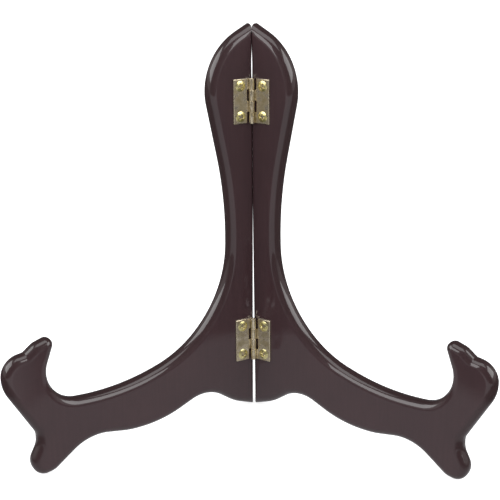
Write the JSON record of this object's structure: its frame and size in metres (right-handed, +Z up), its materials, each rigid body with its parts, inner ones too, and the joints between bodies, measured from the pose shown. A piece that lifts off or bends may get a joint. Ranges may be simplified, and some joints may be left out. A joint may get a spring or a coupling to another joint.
{
  "type": "plate display stand",
  "caption": "Folding easel for a display plate: mirror-image shaped wooden boards hinged along a leaning seam, with hooked arms and rounded feet.",
  "frame": {"origin": "on the ground, midway between the stand's front and back, on the plane between the two boards", "axes": "+Z up, -Y towards the plate and the viewer, +X to the viewer's right"},
  "size_m": [0.2118, 0.0984, 0.1754],
  "materials": {
    "lacquered_wood": "high-gloss dark mahogany lacquer",
    "hinge_leaf": "pressed brass plate, lightly tarnished",
    "screw": "bright yellow brass, polished heads",
    "hinge_pin": "drawn brass wire"
  },
  "bodies": {
    "left_half": {"left_board": "lacquered_wood", "upper_left_leaf": "hinge_leaf", "upper_left_screw_top": "screw", "upper_left_screw_bottom": "screw", "lower_left_leaf": "hinge_leaf", "lower_left_screw_top": "screw", "lower_left_screw_bottom": "screw", "upper_pin": "hinge_pin", "lower_pin": "hinge_pin"},
    "right_half": {"right_board": "lacquered_wood", "upper_right_leaf": "hinge_leaf", "upper_right_screw_top": "screw", "upper_right_screw_bottom": "screw", "lower_right_leaf": "hinge_leaf", "lower_right_screw_top": "screw", "lower_right_screw_bottom": "screw"}
  },
  "joints": [
    {"name": "fold", "type": "hinge", "parent": "left_half", "child": "right_half", "pos_m": [0, 0.00644, 0.00201], "axis": [0, 0.1983, 0.9801], "range_deg": [-116, 0]}
  ]
}
